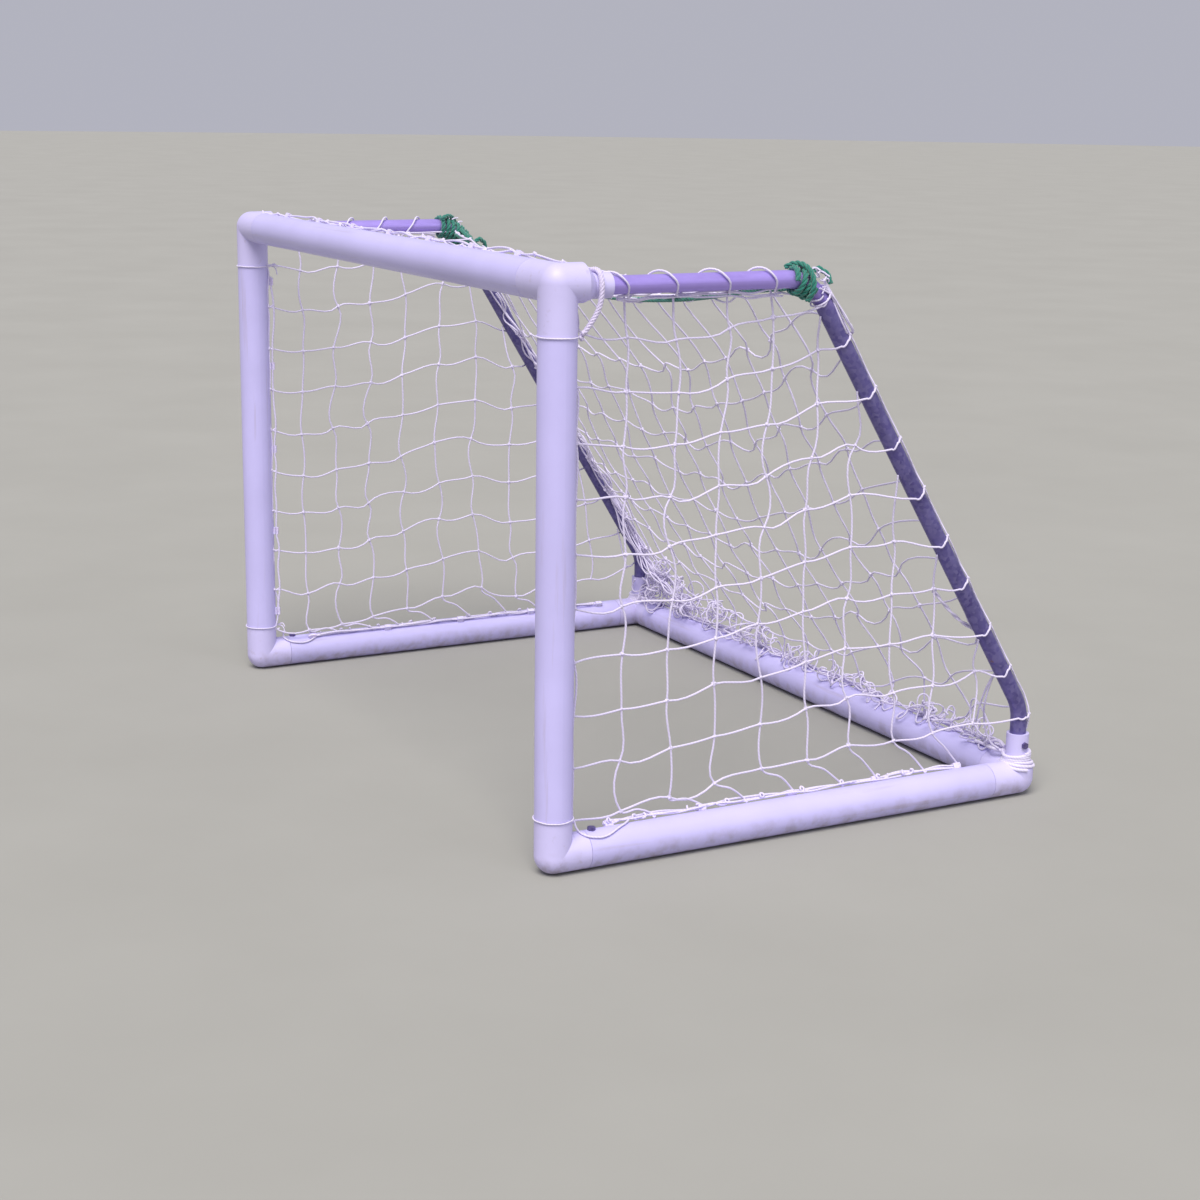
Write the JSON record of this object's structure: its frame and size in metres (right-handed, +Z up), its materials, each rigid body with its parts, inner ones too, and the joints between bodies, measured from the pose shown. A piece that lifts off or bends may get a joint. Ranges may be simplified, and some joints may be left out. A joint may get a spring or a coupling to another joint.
{
  "type": "soccer goal frame",
  "caption": "Free-standing mini soccer goal: push-fit plastic tube frame with moulded corners, bent steel stanchions at the rear, and a square-mesh box net laced and tied to it.",
  "frame": {"origin": "on the ground, under the middle of the goal's box", "axes": "+X across the mouth, to the right for someone who looks into the goal; +Y from the mouth to the rear bar; +Z up"},
  "size_m": [1.6076, 1.0967, 1.0742],
  "materials": {
    "tube_plastic": "semi-gloss white plastic with a faint lavender cast, lightly scuffed",
    "moulded_plastic": "semi-gloss injection-moulded white plastic",
    "galvanised_steel": "dull grey galvanised steel, a little darker on the falls",
    "zinc_fastener": "dull zinc plate",
    "clip_plastic": "matt white plastic",
    "net_twine": "braided white polyethylene twine",
    "tie_cord": "braided white cord",
    "green_rope": "twisted green polypropylene rope"
  },
  "bodies": {
    "root": {"corner_hanger_cord": "tie_cord", "crossbar": "tube_plastic", "crossbar_lacing_cord": "tie_cord", "crossbar_net_clips": "clip_plastic", "front_foot_corner_left": "moulded_plastic", "front_foot_corner_right": "moulded_plastic", "ground_bar_screws": "zinc_fastener", "left_ground_bar": "tube_plastic", "left_ground_bar_lacing_cord": "tie_cord", "left_ground_bar_net_clips": "clip_plastic", "left_stanchion": "galvanised_steel", "left_upright": "tube_plastic", "left_upright_lacing_cord": "tie_cord", "left_upright_net_clips": "clip_plastic", "net_back": "net_twine", "net_heap": "net_twine", "net_left_side": "net_twine", "net_right_side": "net_twine", "net_roof": "net_twine", "net_support_rope": "green_rope", "rear_corner_left": "moulded_plastic", "rear_corner_right": "moulded_plastic", "rear_ground_bar": "tube_plastic", "rear_ground_bar_lacing_cord": "tie_cord", "rear_ground_bar_net_clips": "clip_plastic", "rear_socket_lashings": "tie_cord", "right_ground_bar": "tube_plastic", "right_ground_bar_lacing_cord": "tie_cord", "right_ground_bar_net_clips": "clip_plastic", "right_stanchion": "galvanised_steel", "right_upright": "tube_plastic", "right_upright_lacing_cord": "tie_cord", "right_upright_net_clips": "clip_plastic", "rope_lashings": "green_rope", "stanchion_foot_bolts": "zinc_fastener", "stanchion_foot_nuts": "zinc_fastener", "top_corner_left": "moulded_plastic", "top_corner_right": "moulded_plastic", "upright_ties": "tie_cord"}
  },
  "joints": []
}
